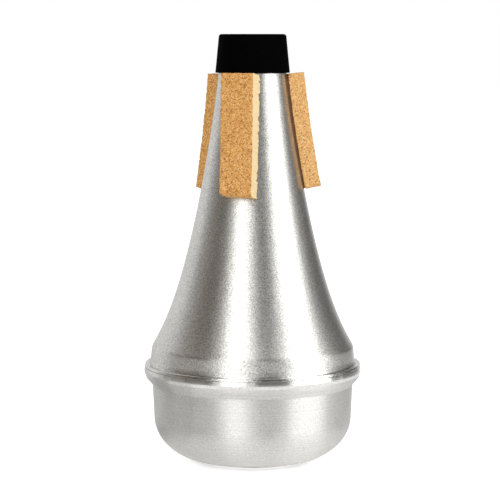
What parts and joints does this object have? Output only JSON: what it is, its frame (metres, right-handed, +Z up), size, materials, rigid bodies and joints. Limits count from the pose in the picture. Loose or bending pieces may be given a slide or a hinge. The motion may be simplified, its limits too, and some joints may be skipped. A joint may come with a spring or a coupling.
{
  "type": "trumpet straight mute",
  "caption": "Straight mute for a trumpet: spun aluminium cone and base joined by a rolled seam, rubber tip sleeve and cork strips.",
  "frame": {"origin": "centre of the flat foot under the base cup, on the surface that the mute stands on", "axes": "+Z up along the turning axis towards the open tip, -Y towards the viewer of the picture, +X to the viewer's right"},
  "size_m": [0.0868, 0.0868, 0.17],
  "materials": {
    "cone_metal": "satin, finely speckled, with faint turning marks",
    "base_metal": "brushed round the axis",
    "sleeve_rubber": "matt black",
    "cork": "agglomerated cork, sawn edges",
    "cement": "dried contact cement"
  },
  "bodies": {
    "root": {"cone_shell": "cone_metal", "base_cup": "base_metal", "tip_sleeve": "sleeve_rubber", "cork_strip_front": "cork", "cork_strip_right": "cork", "cork_strip_left": "cork", "cork_cement_front": "cement", "cork_cement_right": "cement", "cork_cement_left": "cement"}
  },
  "joints": []
}
